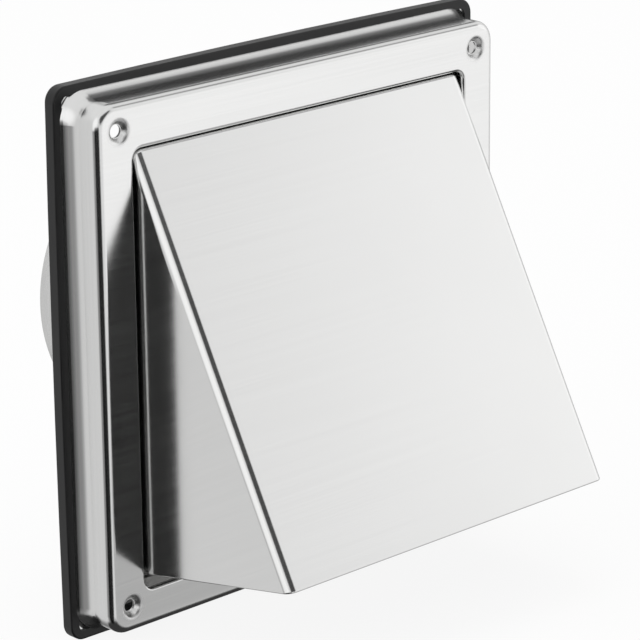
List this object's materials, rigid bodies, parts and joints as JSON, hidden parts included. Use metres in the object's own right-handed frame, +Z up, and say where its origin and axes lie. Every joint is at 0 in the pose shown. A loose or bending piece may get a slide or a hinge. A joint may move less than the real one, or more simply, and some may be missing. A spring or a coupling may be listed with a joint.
{
  "type": "exhaust vent hood",
  "caption": "Stainless wall hood for an exhaust duct: square frame with screw holes, sloping cowl open below, rubber wall seal, round duct spigot and a hinged back-draught flap.",
  "frame": {"origin": "on the duct spigot's axis, in the plane of the wall (the back face of the rubber seal)", "axes": "+Y runs along the duct into the wall, +Z is up, and the hood faces -Y"},
  "size_m": [0.1766, 0.1365, 0.1766],
  "materials": {
    "stainless": "fine brushed stainless sheet, bright",
    "stainless_inner": "mill-finish stainless sheet, satin",
    "rubber": "matt black extruded rubber"
  },
  "bodies": {
    "housing": {"frame": "stainless", "hood": "stainless", "wall_seal": "rubber", "spigot": "stainless_inner", "hinge_pin": "stainless_inner", "hinge_bracket": "stainless_inner"},
    "flap": {"flap": "stainless_inner"}
  },
  "joints": [
    {"name": "flap_hinge", "type": "hinge", "parent": "housing", "child": "flap", "pos_m": [0, -0.01285, 0.0545], "axis": [-1, 0, 0], "range_deg": [0, 30]}
  ]
}
